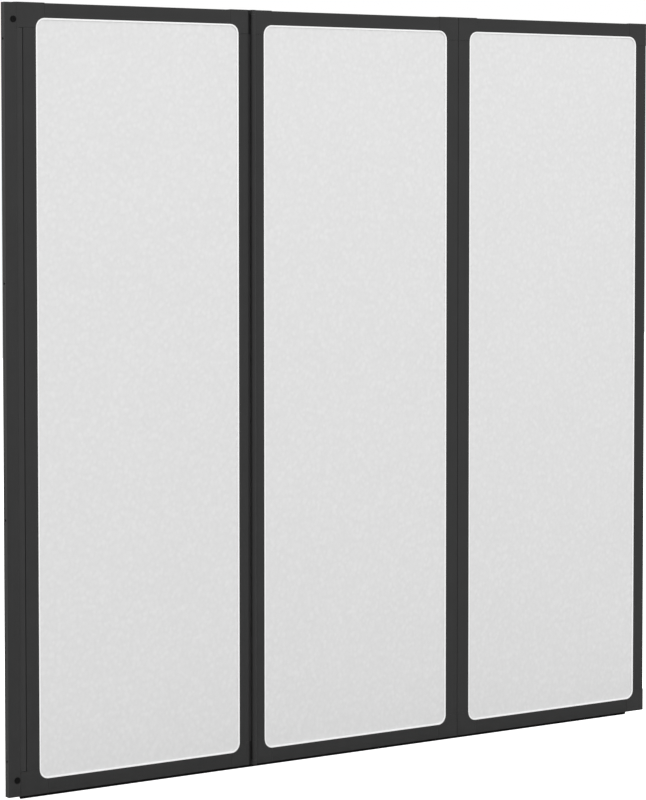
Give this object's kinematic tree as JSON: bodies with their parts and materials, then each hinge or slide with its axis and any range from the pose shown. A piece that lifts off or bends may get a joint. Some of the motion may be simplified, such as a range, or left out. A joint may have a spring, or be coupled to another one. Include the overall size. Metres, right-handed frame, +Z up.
{
  "type": "folding shower screen",
  "caption": "Folding framed bath and shower screen with milky textured sheets in dark profiles, hung on an adjustable wall channel and folding flat like a concertina.",
  "frame": {"origin": "middle of the wall channel's wall face", "axes": "+X along the open screen, away from the wall; +Z up; -Y towards the side the first fold closes to"},
  "size_m": [1.2709, 0.022, 1.2153],
  "materials": {
    "frame_coat": "satin dark grey powder coat on aluminium extrusions",
    "corner_moulding": "fine-grained dark moulding",
    "textured_sheet": "milky plastic with a rain-like relief",
    "white_gasket": "soft white glazing gasket",
    "black_seal": "soft dull strip",
    "dark_screw": "blackened steel",
    "steel_pin": "bright steel",
    "nylon_bush": "dark nylon"
  },
  "bodies": {
    "wall_mount": {"wall_channel": "frame_coat", "hinge_jamb": "frame_coat", "channel_top_cap": "corner_moulding", "channel_bottom_cap": "corner_moulding", "clamp_washers": "dark_screw", "clamp_screws": "dark_screw", "wall_hinge_bushes": "nylon_bush"},
    "panel_1": {"panel_1_sheet": "textured_sheet", "panel_1_gasket": "white_gasket", "panel_1_bottom_seal": "black_seal", "panel_1_left_stile": "frame_coat", "panel_1_right_stile": "frame_coat", "panel_1_top_rail": "frame_coat", "panel_1_bottom_rail": "frame_coat", "panel_1_top_left_corner": "corner_moulding", "panel_1_top_right_corner": "corner_moulding", "panel_1_bottom_left_corner": "corner_moulding", "panel_1_bottom_right_corner": "corner_moulding", "panel_1_corner_screws": "dark_screw", "wall_hinge_pins": "steel_pin", "first_fold_pins": "steel_pin"},
    "panel_2": {"panel_2_sheet": "textured_sheet", "panel_2_gasket": "white_gasket", "panel_2_bottom_seal": "black_seal", "panel_2_left_stile": "frame_coat", "panel_2_right_stile": "frame_coat", "panel_2_top_rail": "frame_coat", "panel_2_bottom_rail": "frame_coat", "panel_2_top_left_corner": "corner_moulding", "panel_2_top_right_corner": "corner_moulding", "panel_2_bottom_left_corner": "corner_moulding", "panel_2_bottom_right_corner": "corner_moulding", "panel_2_corner_screws": "dark_screw", "first_fold_bushes": "nylon_bush", "second_fold_pins": "steel_pin"},
    "panel_3": {"panel_3_sheet": "textured_sheet", "panel_3_gasket": "white_gasket", "panel_3_bottom_seal": "black_seal", "panel_3_left_stile": "frame_coat", "panel_3_right_stile": "frame_coat", "panel_3_top_rail": "frame_coat", "panel_3_bottom_rail": "frame_coat", "panel_3_top_left_corner": "corner_moulding", "panel_3_top_right_corner": "corner_moulding", "panel_3_bottom_left_corner": "corner_moulding", "panel_3_bottom_right_corner": "corner_moulding", "panel_3_corner_screws": "dark_screw", "second_fold_bushes": "nylon_bush"}
  },
  "joints": [
    {"name": "wall_hinge", "type": "hinge", "parent": "wall_mount", "child": "panel_1", "pos_m": [0.02453, 0, 0], "axis": [0, 0, 1], "range_deg": [0, 90]},
    {"name": "first_fold", "type": "hinge", "parent": "panel_1", "child": "panel_2", "pos_m": [0.44633, -0.007, 0], "axis": [0, 0, 1], "range_deg": [-180, 0]},
    {"name": "second_fold", "type": "hinge", "parent": "panel_2", "child": "panel_3", "pos_m": [0.86033, 0.007, 0], "axis": [0, 0, 1], "range_deg": [0, 180]}
  ]
}
